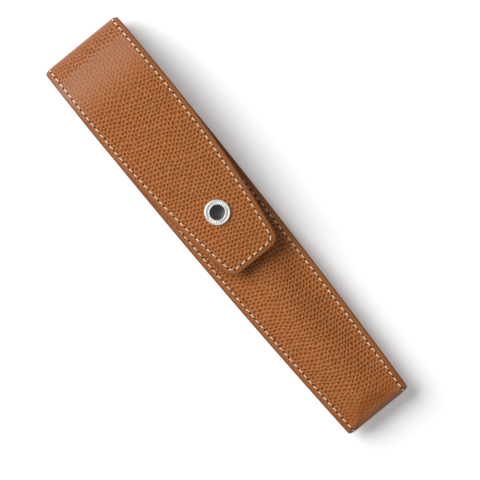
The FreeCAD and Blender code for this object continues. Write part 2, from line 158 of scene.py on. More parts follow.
class PenSleeveColours(bpy.types.PropertyGroup):
    """Colours of the materials."""

    leather: colour("Leather", "Tan of the grain's high places", (0.421, 0.1315, 0.0267))
    # Ridges: partly the grain's own lighter tone, partly a painted highlight.
    ridge_tone_and_highlight: colour("Leather ridges", "Lighter tan of the ridges between the pits",
                          (0.560, 0.242, 0.098))
    # Pits: partly the grain's own redder tone, partly painted shade in the recesses.
    pit_tone_and_shade: colour("Leather pits", "Redder tan of the grain's pits", (0.250, 0.054, 0.003))
    # Painted shade over the foot's turn; also the colour of the lining's nap.
    foot_shade_and_nap: colour("Leather burnish", "Browner tan of the rubbed foot", (0.290, 0.076, 0.009))
    leather_border: colour("Leather border", "Tan of the smooth border outside the stitches",
                           (0.345, 0.112, 0.027))
    # Paint of the cut edges; also the colour of painted shade on the fold, the flap's ramp and the smooth
    # places.
    edge_paint_and_shade: colour("Edge paint", "Brown of the rounded cut edges", (0.140, 0.048, 0.024))
    lining: colour("Lining", "Brown of the lining", (0.205, 0.092, 0.045))
    thread: colour("Thread", "Cream of the thread", (0.98, 0.83, 0.665))
    thread_ply: colour("Thread plies", "Darker cream between the twisted plies", (0.62, 0.47, 0.33))
    thread_wax: colour("Thread wax", "Cream where the wax lies thick", (0.70, 0.55, 0.40))
    needle_hole: colour("Needle hole", "Dark of the needle holes", (0.030, 0.014, 0.008))
    hole_fibre: colour("Hole fibre", "Brown fibres in the needle holes", (0.055, 0.024, 0.012))
    cap_ring: colour("Cap ring", "Satin nickel of the cap's ring", (0.530, 0.522, 0.500))
    cap_inlay: colour("Cap centre", "Dark centre of the cap", (0.012, 0.011, 0.011))
    cap_cloud: colour("Cap cloud", "Lighter clouds in the cap's centre", (0.030, 0.028, 0.027))
    snap_metal: colour("Snap metal", "Nickel of the hidden press-stud parts", (0.62, 0.60, 0.56))
    floor: colour("Floor", "Pale floor", (0.80, 0.80, 0.80))
    floor_cloud: colour("Floor cloud", "Faint clouds in the floor", (0.76, 0.76, 0.77))


# Small fixed sizes in millimetres, shares and counts of points

# Lengthwise lines beside a seam, from the edge inwards; the seam itself is at zero
SEAM_LINES = (-1.5, -1.25, -1.0, -0.7, -0.45, -0.3, -0.18, -0.08,
              0.0, 0.08, 0.18, 0.3, 0.45, 0.7, 1.05, 1.4)
SEAM_COLUMN = SEAM_LINES.index(0.0)
INNER_LINES = 9
BACK_ROWS, HEEL_ROWS, FOOT_ROWS, FRONT_ROWS = 250, 20, 30, 205
FOLD_ROWS, FLAP_SIDE_ROWS, FLAP_TIP_ROWS, FLAP_RUN_ROWS = 15, 150, 13, 400
EDGE_STEPS, END_ROWS = 6, 4
MOUTH_ROWS, MOUTH_SEAM_GAP = 80, 1.4

LAYER_GAP = 0.01
MERGE_DISTANCE = 0.0002
SLOPE_STEP = 0.01
FLAT_BACK_SHARE = 0.15
DIP_START_SHARE, DIP_LENGTH_SHARE = 0.39, 0.15
HANG_LENGTH = 18.0
FLAP_SIDE_EASE = 8.0
THINNED_WIDTH = 1.5
GROOVE_WIDTH = 0.30
HOLE_PULL_SHARE = 0.28
END_BORDER = 0.3
UV_LENGTH = 10.0

# Eased steps: where each starts, over what length it eases and what it adds
FOOT_SLOPE = ((0.0, 0.40, math.radians(27.0)), (0.62, 0.38, math.radians(63.0)))
MARGIN_GRAIN = ((0.6, 0.6, 0.35), (1.9, 1.1, 0.65))
SMOOTH_GRAIN = 0.10
FOLD_TOP_GRAIN = ((1.7, 0.9, 0.85), (5.8, 2.6, -0.58), (13.0, 18.0, 0.63))
FOLD_UNDER_GRAIN = ((2.0, 3.0, 0.90),)
FOOT_GRAIN = ((2.0, 1.3, 1.0),)
# Painted shade over the foot's turn, which is also burnished smoother and glossier: from nothing 14 mm before
# the foot to full 4 mm before it.
FOOT_SHADE_AND_BURNISH = ((-14.0, 10.0, 1.0),)
BURNISH_FADE = 0.45

# Stitches and needle holes
STITCH_RINGS, STITCH_SIDES, HOLE_SIDES = 7, 6, 8
STITCH_THINNING = 0.80
STITCH_SINK = 0.12
SEAM_STEP = 0.05
HOLE_LENGTH_SHARE = 1.45
HOLE_RIM_SINK, HOLE_TOP_RISE, HOLE_DEPTH = 0.02, 0.03, 0.10

# Press stud
AXIS_RADIUS = 0.001
CAP_SEAT, CAP_SKIRT, CENTRE_SEAT = 0.25, 0.18, 0.20
CAP_ROUNDING, ROUNDED_SHARE = 0.08, 0.48
CAP_LINE = 0.06
FLUTES, FLUTE_DEPTH = 36, 0.11
CENTRE_BOWL, CENTRE_LAP, CENTRE_ROWS = 0.42, 0.02, 14
RING_SEGMENTS, CENTRE_SEGMENTS = 288, 96

# Stage: floor, lens and sensor in millimetres, lamp and place of the camera in metres
FLOOR_REACH, FLOOR_GAP, FLOOR_GLOW = 3000.0, 0.02, 0.23
STUDIO_FILL = 0.20
LAMP_SIZE, LAMP_DISTANCE, LAMP_POWER = 1.25, 1.5, 27.5
LAMP_AZIMUTH, LAMP_HEIGHT = math.atan2(-0.50, -0.866), math.radians(41.0)
CAMERA_PLACE, CAMERA_LENS, CAMERA_SENSOR = (0.00587, 0.00009, 0.9639), 200.0, 36.0
WHITE = (1.0, 1.0, 1.0, 1.0)


# Shared shape of the strip, in millimetres

def smooth(share):
    """Ease from 0 to 1: three times the square less twice the cube of the share, held between 0 and 1."""
    share = np.clip(share, 0.0, 1.0)
    return share * share * (3.0 - 2.0 * share)


def stairs(place, steps):
    """Sum of eased steps, each given by its start, its length and what it adds."""
    return sum(change * smooth((place - start) / reach) for start, reach, change in steps)


def half_wave(share):
    """Half a cosine wave, from 1 at share 0 down to 0 at share 1 or more."""
    return (1.0 + np.cos(np.pi * np.clip(share, 0.0, 1.0))) / 2.0


def unit(vectors):
    """Vectors divided by their own lengths."""
    size = np.linalg.norm(vectors, axis=-1, keepdims=True)
    return vectors / np.maximum(size, 1e-12)


def run_along(points):
    """Length of a line of points, or of each line of a grid, summed up to each point."""
    steps = np.linalg.norm(np.diff(points, axis=0), axis=-1)
    return np.concatenate((np.zeros_like(steps[:1]), np.cumsum(steps, axis=0)))


def sagitta(radius, reach):
    """Depth of an arc of a radius below its crown at a distance from it."""
    return radius - np.sqrt(np.maximum(radius * radius - reach * reach, 0.0))


def arc_radius(reach, drop):
    """Radius of the arc that falls by a drop over a reach."""
    return (reach * reach + drop * drop) / (2.0 * drop)


def grid_normals(points):
    """Normals of a grid of points: the cross product of its two directions of change."""
    return unit(np.cross(np.gradient(points, axis=0), np.gradient(points, axis=1)))


def height_normals(height, x, y, way):
    """Normals of a surface given as a height over x and y, pointing up for way 1 and down for way -1."""
    slope_x = (height(x + SLOPE_STEP, y) - height(x - SLOPE_STEP, y)) / (2.0 * SLOPE_STEP)
    slope_y = (height(x, y + SLOPE_STEP) - height(x, y - SLOPE_STEP)) / (2.0 * SLOPE_STEP)
    return unit(np.stack((-slope_x, -slope_y, np.ones_like(slope_x)), axis=-1)) * way


class SleeveForm:
    """The named lengths in millimetres, with the widths and heights that follow from them."""

    def __init__(self, scene):
        sizes, shape = scene.pen_sleeve_sizes, scene.pen_sleeve_shape
        for name in PenSleeveSizes.__annotations__:
            setattr(self, name, getattr(sizes, name) / MM)
        self.wall = self.leather_thickness + self.lining_thickness
        self.foot_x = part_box("sleeve_leather")[1][0] / MM
        self.fold_x = self.foot_x - self.sleeve_length
        self.bend_x = self.fold_x + self.fold_radius
        self.mouth_x = self.fold_x + self.mouth_from_fold
        self.widest_x = self.fold_x + self.widest_from_fold
        self.turn_x = self.foot_x - self.foot_turn
        self.tip_x = self.fold_x + self.flap_length
        self.taper_x = self.fold_x + self.flap_taper_from_fold
        drawn_in = (self.widest_width - self.foot_width) / 2
        self.side_radius = arc_radius(self.foot_x - self.widest_x, drawn_in)
        self.flap_side = float(self.half_width(self.taper_x))
        self.flap_radius = arc_radius(self.tip_x - self.taper_x, self.flap_side - self.flap_tip_width / 2)
        self.sweep = shape.fold_sweep
        self.fold_length = self.fold_radius * self.sweep
        self.strip = self.fold_length / shape.fold_strips
        self.ramp = math.pi - self.sweep
        self.fold_z = self.fold_base + self.fold_radius
        self.leave_x = self.bend_x - self.fold_radius * math.sin(self.ramp)
        self.leave_z = self.fold_z + self.fold_radius * math.cos(self.ramp)
        rise = self.flap_top - self.leave_z - self.shoulder_radius * (1.0 - math.cos(self.ramp))
        self.ramp_end = self.leave_x + rise / math.tan(self.ramp)
        self.level_x = self.ramp_end + self.shoulder_radius * math.sin(self.ramp)
        self.droop_x = self.tip_x - self.droop_length
        self.droop_radius = arc_radius(self.droop_length, self.droop)
        self.flap_start = self.leave_x + self.strip / 2 * math.cos(self.ramp)
        self.back_start = self.bend_x + self.strip / 2
        self.edge_reach = float(self.columns()[2][0])
        cap_low, cap_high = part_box("snap_cap")
        self.snap_x = (cap_low[0] + cap_high[0]) / 2 / MM

    def half_width(self, x):
        """Half the strip's width: widest below the fold, drawn in by one long arc."""
        return self.widest_width / 2 - sagitta(self.side_radius, x - self.widest_x)

    def flap_half_width(self, x):
        """Half the flap's width: the strip's, then an arc that narrows to the tip."""
        narrowing = self.flap_side - sagitta(self.flap_radius, np.maximum(x - self.taper_x, 0.0))
        return np.where(x > self.taper_x, narrowing, self.half_width(x))

    def front(self, x, y):
        """Height of the front: a crown that falls from mouth to foot and sinks a little past the press
        stud, eased to the border by half a cosine wave."""
        share = (x - self.mouth_x) / (self.turn_x - self.mouth_x)
        crown = self.mouth_height + (self.foot_height - self.mouth_height) * share
        crown = crown - self.front_dip * smooth((share - DIP_START_SHARE) / DIP_LENGTH_SHARE)
        land = self.seam_height + self.wall
        return land + (crown - land) * half_wave(np.abs(y) / (self.half_width(x) - self.seam_land))

    def back(self, x, y):
        """Height of the back's underside: flat in the middle, a cosine up to the border, and a double bend up
        from the fold to the border's height."""
        share = np.clip((x - self.bend_x) / (self.mouth_x - self.bend_x), 0.0, 1.0)
        bend = np.where(share < 0.5, 2.0 * share ** 2, 1.0 - 2.0 * (1.0 - share) ** 2)
        border = self.fold_base + (self.seam_height - self.wall - self.fold_base) * bend
        floor = self.fold_base * (1.0 - share)
        hollow = np.minimum(self.hollow_width / 2, self.half_width(x) - self.seam_land)
        reach = (np.abs(y) / hollow - FLAT_BACK_SHARE) / (1.0 - FLAT_BACK_SHARE)
        return border - (border - floor) * half_wave(reach)

    def flap(self, x, y):
        """Height of the flap: ramp, shoulder arc, level stretch and drooping arc, with sides hanging by a
        parabola."""
        ramp = self.leave_z + (x - self.leave_x) * math.tan(self.ramp)
        shoulder = self.flap_top - sagitta(self.shoulder_radius, np.clip(self.level_x - x, 0.0, None))
        level = self.flap_top - sagitta(self.droop_radius, np.clip(x - self.droop_x, 0.0, None))
        line = np.where(x < self.ramp_end, ramp, np.where(x < self.level_x, shoulder, level))
        hang = self.flap_crown * smooth((x - self.flap_start) / HANG_LENGTH)
        return line - hang * (y / self.flap_half_width(x)) ** 2

    def flap_run(self, x):
        """Length of the strip from the fold's start to a place on the flap, summed along its middle line."""
        places = np.linspace(self.flap_start, self.tip_x, FLAP_RUN_ROWS)
        middle = np.stack((places, self.flap(places, np.zeros_like(places))), axis=-1)
        return self.fold_length + self.strip / 2 + np.interp(x, places, run_along(middle))

    def columns(self):
        """Sides, shares and insets of the strip's lengthwise lines, close together near the stitches.

        A line lies at side * share * (half width - inset)."""
        inset = self.stitch_inset + np.array(SEAM_LINES)
        share = np.linspace(1.0, 0.0, INNER_LINES + 1)[1:]
        half_share = np.concatenate((np.ones_like(inset), share))
        half_inset = np.concatenate((inset, np.full_like(share, inset[-1])))
        sides = np.concatenate((np.ones_like(half_share), -np.ones(len(half_share) - 1)))
        shares, insets = [np.concatenate((half, half[-2::-1])) for half in (half_share, half_inset)]
        return sides, shares, insets

    def across(self, x, end_x):
        """Places of the lengthwise lines across the strip, those outside the stitches drawn in round an end's
        corner."""
        sides, shares, insets = self.columns()
        outside = np.clip((self.stitch_inset - insets) / (self.stitch_inset - insets[0]), 0.0, 1.0)
        corner = sagitta(self.corner_radius, np.clip(self.corner_radius - np.abs(end_x - x), 0.0, None))
        return sides * shares * (self.half_width(x) - insets - outside * corner)

    def groove(self, border, run, pitch):
        """Dent along the stitches: a bell across the seam, deeper at each needle hole."""
        bell = np.exp(-((border - self.stitch_inset) / GROOVE_WIDTH) ** 2)
        pull = 1.0 - HOLE_PULL_SHARE + HOLE_PULL_SHARE * np.cos(2.0 * np.pi * run / pitch)
        return -self.groove_depth * bell * pull

    def fold_grain(self, x):
        """Strength of the grain on top: smooth over the fold, a few close rows, stretched smooth, then
        full."""
        return SMOOTH_GRAIN + stairs(x - self.fold_x, FOLD_TOP_GRAIN)

    def stitch_count(self, run, odd):
        """Stitches in a seam's length: an even number, or an odd one that puts a stitch on its middle."""
        return 2 * max(1, round((run / self.stitch_pitch - odd) / 2)) + odd


class Sheet:
    """A grid of points on one face of the strip, with its normals, the run along its seam and the
    distance from its border. A seam on it has an odd or even number of stitches."""

    def __init__(self, points, normals, run, border, pebbling, burnish_and_shade=0.0, odd=0):
        """The grain is the pebbling along the strip, fainter in the margin and where burnished; where the
        pebbling is faint the leather is polished. Polished and burnished places also get a darker colour, as
        painted shade."""
        self.points, self.normals, self.run, self.border, self.odd = points, normals, run, border, odd
        self.burnish_and_shade = burnish_and_shade * np.ones_like(border)
        self.grain = stairs(border, MARGIN_GRAIN) * pebbling * (1.0 - BURNISH_FADE * self.burnish_and_shade)
        # Polished places also get a darker colour, as painted shade.
        self.polish_and_shade = 1.0 - pebbling

    def under(self, depth):
        """The same grid moved in by a depth."""
        sheet = copy.copy(self)
        sheet.points = self.points - self.normals * depth
        return sheet


def stitched(form, sheet):
    """The sheet's outer face, thinned towards its edge, with its seam groove pressed in."""
    run = np.abs(sheet.run - sheet.run[:1])
    seam_run = float(run[-1, SEAM_COLUMN])
    pitch = seam_run / form.stitch_count(seam_run, sheet.odd)
    thinned = form.edge_thinning * smooth((form.stitch_inset - sheet.border) / THINNED_WIDTH)
    return sheet.points + sheet.normals * (form.groove(sheet.border, run, pitch) - thinned)[..., None]


def foot_profile():
    """Side view of the front's turn down to the foot, as shares of its length and height: its slope eases
    to a ramp, holds, and rolls over to upright. Summed from steps of even length."""
    slope = stairs(np.linspace(0.0, 1.0, FOOT_ROWS), FOOT_SLOPE)
    reach = np.concatenate(([0.0], np.cumsum(np.cos(slope[1:]))))[:, None]
    fall = np.concatenate(([0.0], np.cumsum(np.sin(slope[1:]))))[:, None]
    return reach / reach[-1], 1.0 - fall / fall[-1]


def sleeve_sheet(form):
    """Outer face of back, foot and front: the back's height along x, a turn round the foot whose length
    grows with the front's height, then the front's height back to the mouth."""
    lines = len(form.columns()[0])
    level = np.full(lines, form.turn_x)
    land = form.wall
    rise = form.front(level, form.across(level, form.foot_x)) - form.seam_height
    full = form.foot_height - form.front_dip - form.seam_height
    nose = land + (form.foot_turn - land) * (rise - land) / (full - land)
    turn_x = form.foot_x - nose
    turn_y = form.across(turn_x, form.foot_x)
    along_back = form.back_start + (turn_x - form.back_start) * np.linspace(0.0, 1.0, BACK_ROWS)[:, None]
    angle = np.linspace(0.0, np.pi / 2, HEEL_ROWS)[1:, None]
    reach, drop = foot_profile()
    along_foot = turn_x + nose * np.concatenate((np.sin(angle), reach[-2:0:-1]))
    along_front = turn_x + (form.mouth_x - turn_x) * np.linspace(0.0, 1.0, FRONT_ROWS)[:, None]
    below = form.seam_height - form.back(turn_x, turn_y)
    above = form.front(turn_x, turn_y) - form.seam_height
    foot_z = form.seam_height + np.concatenate((-below * np.cos(angle), above * drop[-2:0:-1]))
    x = np.concatenate((along_back, along_foot, along_front))
    y = form.across(x, form.foot_x)
    back_z = form.back(along_back, form.across(along_back, form.foot_x))
    front_z = form.front(along_front, form.across(along_front, form.foot_x))
    points = np.stack((x, y, np.concatenate((back_z, foot_z, front_z))), axis=-1)
    normals = grid_normals(points)
    normals *= -np.sign(normals[0, lines // 2, 2])
    run = form.strip / 2 + run_along(points)
    border = form.half_width(x) - np.abs(y)
    pebbling = stairs(form.foot_x - x, FOOT_GRAIN)
    # Painted shade over the foot's turn, where the grain is also burnished smoother.
    burnish_and_shade = stairs(x - form.foot_x, FOOT_SHADE_AND_BURNISH)
    return Sheet(points, normals, run, border, pebbling, burnish_and_shade, 1)


def fold_sheet(form, part):
    """Outer face of one part of the fold, from half a strip before a hinge to half a strip after it: the
    back's height, then an arc about the fold's middle, then the flap's ramp."""
    start = (part - 0.5) * form.strip
    run = np.linspace(start, start + form.strip, FOLD_ROWS)[:, None] * np.ones(len(form.columns()[0]))
    turn = np.clip(run, 0.0, form.fold_length) / form.fold_radius
    x = form.bend_x - form.fold_radius * np.sin(turn)
    x = x + np.clip(-run, 0.0, None) + np.clip(run - form.fold_length, 0.0, None) * math.cos(form.ramp)
    y = form.across(x, form.fold_x)
    z = form.fold_z - form.fold_radius * np.cos(turn)
    before, after = run < 0.0, run > form.fold_length
    z = np.where(before, form.back(x, y), np.where(after, form.flap(x, y), z))
    normals = np.stack((-np.sin(turn), np.zeros_like(turn), -np.cos(turn)), axis=-1)
    normals = np.where(before[..., None], height_normals(form.back, x, y, -1), normals)
    normals = np.where(after[..., None], height_normals(form.flap, x, y, 1), normals)
    border = form.half_width(x) - np.abs(y)
    beneath = SMOOTH_GRAIN + stairs(x - form.fold_x, FOLD_UNDER_GRAIN)
    pebbling = np.where(turn > np.pi / 2, form.fold_grain(x), beneath)
    return Sheet(np.stack((x, y, z), axis=-1), normals, -run, border, pebbling)


def flap_outline(form):
    """Plan of the flap's edge from one side of its start round the tip to the other: the narrowing side,
    a round corner that touches side and tip, and half the tip, then the same mirrored. Gives points and
    outward normals."""
    radius = form.flap_corner_radius
    middle_y = form.flap_side - form.flap_radius
    corner_x = form.tip_x - radius
    corner_y = middle_y + math.sqrt((form.flap_radius - radius) ** 2 - (corner_x - form.taper_x) ** 2)
    lean = math.atan2(corner_y - middle_y, corner_x - form.taper_x)
    side_x = np.linspace(form.flap_start, corner_x + radius * math.cos(lean), FLAP_SIDE_ROWS)
    side_y = form.flap_half_width(side_x)
    turn = np.linspace(lean, 0.0, FLAP_TIP_ROWS)[1:]
    tip_y = np.linspace(corner_y, 0.0, FLAP_TIP_ROWS)[1:]
    half_x = np.concatenate((side_x, corner_x + radius * np.cos(turn), np.full_like(tip_y, form.tip_x)))
    half_y = np.concatenate((side_y, corner_y + radius * np.sin(turn), tip_y))
    half = np.stack((half_x, half_y), axis=-1)
    slope = np.gradient(side_y, side_x) * smooth((side_x - form.flap_start) / FLAP_SIDE_EASE)
    side_normal = np.stack((-slope, np.ones_like(slope)), axis=-1)
    round_normal = np.stack((np.cos(turn), np.sin(turn)), axis=-1)
    tip_normal = np.tile((1.0, 0.0), (len(tip_y), 1))
    normal = unit(np.concatenate((side_normal, round_normal, tip_normal)))
    return [np.concatenate((side, side[-2::-1] * (1.0, -1.0))) for side in (half, normal)]


def flap_sheet(form):
    """Outer face of the flap: lines at set distances inside its outline, then straight in to its middle
    line."""
    outline, outward = flap_outline(form)
    _, shares, insets = form.columns()
    count = (len(shares) + 1) // 2
    shares, insets = shares[:count], insets[:count]
    spine_x = np.minimum(outline[:, 0], form.tip_x - form.flap_tip_width / 2)
    spine = np.stack((spine_x, np.zeros_like(spine_x)), axis=-1)[:, None]
    plan = outline[:, None] - outward[:, None] * insets[:, None]
    plan = spine + (plan - spine) * shares[:, None]
    x, y = plan[..., 0], plan[..., 1]
    points = np.stack((x, y, form.flap(x, y)), axis=-1)
    normals = height_normals(form.flap, x, y, 1)
    inner = np.linalg.norm(outline[:, None] - plan, axis=-1)
    border = np.where(shares < 1.0, np.maximum(inner, insets), insets)
    run = run_along(points[:, SEAM_COLUMN])[:, None] * np.ones(count)
    return Sheet(points, normals, run, border, form.fold_grain(x))


# Meshes

def strip_faces(rows, columns, closed):
    """Four-sided faces between neighbouring points of a grid, its rows joined into loops where closed."""
    row = np.arange(rows - 1)[:, None] * columns
    column = np.arange(columns if closed else columns - 1)
    after = (column + 1) % columns
    corners = (row + column, row + after, row + columns + after, row + columns + column)
    return np.stack(corners, axis=-1).reshape(-1, 4).tolist()


def add_piece(name, points, faces, finishes, uv=None, values=None, face_finish=None, sharp=40.0):
    """A mesh object from points in millimetres: doubles merged, normals outward, smooth except at sharp
    angles."""
    points = np.asarray(points, dtype=float).reshape(-1, 3)
    mesh = bpy.data.meshes.new(name)
    mesh.from_pydata((points * MM).tolist(), [], faces)
    for finish in finishes:
        mesh.materials.append(finish)
    if face_finish is not None:
        mesh.polygons.foreach_set("material_index", np.asarray(face_finish, dtype=np.int32))
    if uv is not None:
        corner = np.empty(len(mesh.loops), dtype=np.int32)
        mesh.loops.foreach_get("vertex_index", corner)
        layer = mesh.uv_layers.new(name="strip")
        layer.data.foreach_set("uv", np.asarray(uv, dtype=np.float32).reshape(-1, 2)[corner].ravel())
    for label, numbers in (values or {}).items():
        layer = mesh.attributes.new(label, "FLOAT", "POINT")
        layer.data.foreach_set("value", np.asarray(numbers, dtype=np.float32).ravel())
    shell = bmesh.new()
    shell.from_mesh(mesh)
    bmesh.ops.remove_doubles(shell, verts=shell.verts, dist=MERGE_DISTANCE * MM)
    bmesh.ops.recalc_face_normals(shell, faces=shell.faces)
    shell.to_mesh(mesh)
    shell.free()
    mesh.polygons.foreach_set("use_smooth", np.ones(len(mesh.polygons), dtype=bool))
    mesh.set_sharp_from_angle(angle=math.radians(sharp))
    piece = bpy.data.objects.new(name, mesh)
    bpy.context.scene.collection.objects.link(piece)
    return piece


def edge_round(outer, inner, way, reach):
    """Rounded edge between the last points of two faces: half an ellipse about their middle, standing out
    by a reach along the way the sheet runs. Also gives the same points laid flat on the middle line."""
    middle, half = (outer + inner) / 2, (outer - inner) / 2
    across = unit(half)
    way = unit(way - across * np.sum(way * across, axis=-1, keepdims=True))
    angle = np.linspace(0.0, np.pi, EDGE_STEPS + 1)[1:-1][:, None]
    flat = middle[..., None, :] + way[..., None, :] * reach * np.sin(angle)
    return flat + half[..., None, :] * np.cos(angle), flat


def end_cap(first, face_columns, edge, columns):
    """Faces that close a row of a piece: a ladder between its two faces, and one face in each rounded
    edge."""
    ladder = np.arange(face_columns - 1)
    last = 2 * face_columns + edge - 1
    rungs = np.stack((ladder, ladder + 1, last - 1 - ladder, last - ladder), axis=-1)
    turns = [np.arange(face_columns - 1, face_columns + edge + 1)]
    if columns > last + 1:
        turns.append(np.append(np.arange(last, columns), 0))
    return (rungs + first).tolist() + [(turn + first).tolist() for turn in turns]


def strip_values(sheet, along, spread):
    """A sheet's places across and along the strip and its attributes, spread over the points of a piece.
    On its rounded edges border and grain are nothing, and the rest is as beside them."""
    place = [spread(values, True) for values in (sheet.points[..., 1], along)]
    values = {name: spread(getattr(sheet, name), name in ("polish_and_shade", "burnish_and_shade"))
              for name in ("border", "grain", "polish_and_shade", "burnish_and_shade")}
    return np.stack(place, axis=-1) / UV_LENGTH, values


def band(name, outer, sheet, thickness, finish, reach, round_end=False):
    """A strip with thickness: loops of outer face, rounded edge, inner face and rounded edge, carried
    along the strip, with a flat start and a flat or rounded end."""
    inner = sheet.points - sheet.normals * thickness
    right, right_flat = edge_round(outer[:, 0], inner[:, 0], outer[:, 0] - outer[:, 2], reach)
    left, left_flat = edge_round(outer[:, -1], inner[:, -1], outer[:, -1] - outer[:, -3], reach)
    middle = (outer + inner) / 2
    loops = np.concatenate((outer, left, inner[:, ::-1], right[:, ::-1]), axis=1)
    flat = np.concatenate((middle, left_flat, middle[:, ::-1], right_flat[:, ::-1]), axis=1)
    face_columns, edge = outer.shape[1], left.shape[1]
    end_rows = END_ROWS if round_end else 0

    def spread(values, kept):
        beside = [np.repeat(values[:, side] * kept, edge).reshape(-1, edge) for side in (-1, 0)]
        loop = np.concatenate((values, beside[0], values[:, ::-1], beside[1]), axis=1)
        return np.concatenate((loop, np.repeat(loop[-1:], end_rows, axis=0)))

    uv, values = strip_values(sheet, -sheet.run, spread)
    if round_end:
        angle = np.linspace(0.0, np.pi / 2, END_ROWS + 1)[1:, None, None]
        way = unit(flat[-1] - flat[-3])
        ending = flat[-1] + (loops[-1] - flat[-1]) * np.cos(angle) + way * (thickness / 2) * np.sin(angle)
        loops = np.concatenate((loops, ending))
        values["border"][-END_ROWS:] = np.linspace(END_BORDER, 0.0, END_ROWS)[:, None]
    rows, columns = loops.shape[:2]
    faces = strip_faces(rows, columns, True) + end_cap(0, face_columns, edge, columns)
    if not round_end:
        faces += end_cap((rows - 1) * columns, face_columns, edge, columns)
    return add_piece(name, loops, faces, [finish], uv, values)


def tongue(name, outer, sheet, thickness, finish, reach, strip_run):
    """The flap with thickness: at each place on its outline, outer face out from the middle line, rounded
    edge, and inner face back to the middle line, with a flat end at its start. A function gives the run
    of the strip at each x."""
    inner = sheet.points - sheet.normals * thickness
    rounded, _ = edge_round(outer[:, 0], inner[:, 0], outer[:, 0] - outer[:, 2], reach)
    lines = np.concatenate((outer[:, ::-1], rounded, inner), axis=1)
    rows, columns = lines.shape[:2]
    edge = rounded.shape[1]

    def spread(values, kept):
        beside = np.repeat(values[:, 0] * kept, edge).reshape(-1, edge)
        return np.concatenate((values[:, ::-1], beside, values), axis=1)

    faces = strip_faces(rows, columns, False)
    for first in (0, (rows - 1) * columns):
        faces += end_cap(first, outer.shape[1], edge, columns)
    uv, values = strip_values(sheet, strip_run(sheet.points[..., 0]), spread)
    return add_piece(name, lines, faces, [finish], uv, values)


def two_layers(form, sheet, make, label, **options):
    """Leather and lining of a sheet: the leather's face is thinned and pressed in by its seam, and the
    lining lies a hair's breadth under the leather."""
    leather = make(label.format("leather"), stitched(form, sheet), sheet, form.leather_thickness,
                   material_of(pebbled_leather), form.edge_reach, **options)
    under = sheet.under(form.leather_thickness + LAYER_GAP)
    lining = make(label.format("lining"), under.points, under, form.lining_thickness - 2 * LAYER_GAP,
                  material_of(suede_lining), form.edge_reach / 2, **options)
    return leather, lining


def copies(faces, count, points):
    """Faces of one small piece, repeated for copies that each have the same number of points."""
    faces = np.asarray(faces)
    return (faces + np.arange(count)[:, None, None] * points).reshape(-1, faces.shape[1]).tolist()


def seam_frame(path, normals, run, places):
    """Points of a path at given runs along it, with the ways up, ahead and aside there."""
    def at(line, where):
        return np.stack([np.interp(where, run, line[:, axis]) for axis in range(3)], axis=-1)

    up = unit(at(normals, places))
    ahead = unit(at(path, places + SEAM_STEP) - at(path, places - SEAM_STEP))
    return at(path, places), up, ahead, unit(np.cross(up, ahead))


def stitches(form, share, centre, up, aside):
    """Six-sided tubes given at shares of their half length: each follows the seam, rises by a parabola
    over its middle, thins towards its ends and lies a little across the seam."""
    fat = np.sqrt(1.0 - STITCH_THINNING * share ** 4) * form.stitch_width / 2
    lift = form.stitch_rise * (1.0 - share ** 2) - form.groove_depth - STITCH_SINK
    side = np.arange(STITCH_SIDES)
    angle = (side + 0.5) * (2.0 * np.pi / STITCH_SIDES)
    sideways = form.stitch_slant * share[:, None] + fat[:, None] * np.cos(angle)
    upward = lift[:, None] + fat[:, None] * np.sin(angle)
    tubes = centre[:, :, None] + aside[:, :, None] * sideways[..., None] + up[:, :, None] * upward[..., None]
    per = len(share) * STITCH_SIDES
    faces = copies(strip_faces(len(share), STITCH_SIDES, True), len(tubes), per)
    faces += copies((side[::-1], side + per - STITCH_SIDES), len(tubes), per)
    return tubes.reshape(-1, 3), faces, 0


def needle_holes(form, middle, up, ahead, aside):
    """Flat oval lenses: a rim round each hole, and a point above and below its middle."""
    side = np.arange(HOLE_SIDES)
    turn = side[:, None] * (2.0 * np.pi / HOLE_SIDES)
    oval = ahead[:, None] * np.cos(turn) * HOLE_LENGTH_SHARE + aside[:, None] * np.sin(turn)
    rim = middle[:, None] - up[:, None] * HOLE_RIM_SINK + oval * form.needle_hole / 2
    poles = [middle - up * (form.groove_depth + depth) for depth in (-HOLE_TOP_RISE, HOLE_DEPTH)]
    lenses = np.concatenate((rim, np.stack(poles, axis=1)), axis=1)
    after = (side + 1) % HOLE_SIDES
    top, bottom = [np.full(HOLE_SIDES, HOLE_SIDES + pole) for pole in (0, 1)]
    cones = np.concatenate((np.stack((side, after, top), axis=-1), np.stack((after, side, bottom), axis=-1)))
    return lenses.reshape(-1, 3), copies(cones, len(lenses), HOLE_SIDES + 2), 1


def thread_row(form, path, normals, skip_first=0, skip_last=0, odd=0):
    """Stitches and needle holes along a path; a row that meets another leaves its first or last hole to
    it."""
    run = run_along(path)
    count = form.stitch_count(run[-1], odd)
    pitch = run[-1] / count
    share = np.linspace(-1.0, 1.0, STITCH_RINGS)
    places = (np.arange(count)[:, None] + 0.5) * pitch + share * form.stitch_length / 2
    centre, up, _, aside = seam_frame(path, normals, run, places)
    spots = np.clip(np.arange(skip_first, count + 1 - skip_last) * pitch, SEAM_STEP, run[-1] - SEAM_STEP)
    return [stitches(form, share, centre, up, aside),
            needle_holes(form, *seam_frame(path, normals, run, spots))]


def rows_on_both_faces(form, sheet, columns, *skipped):
    """Rows of thread along columns of a sheet, each on its outer face and then on its lining."""
    faces = ((sheet, 1.0), (sheet.under(form.wall), -1.0))
    return [thread_row(form, face.points[:, column], face.normals[:, column] * way, *skipped)
            for column in columns for face, way in faces]


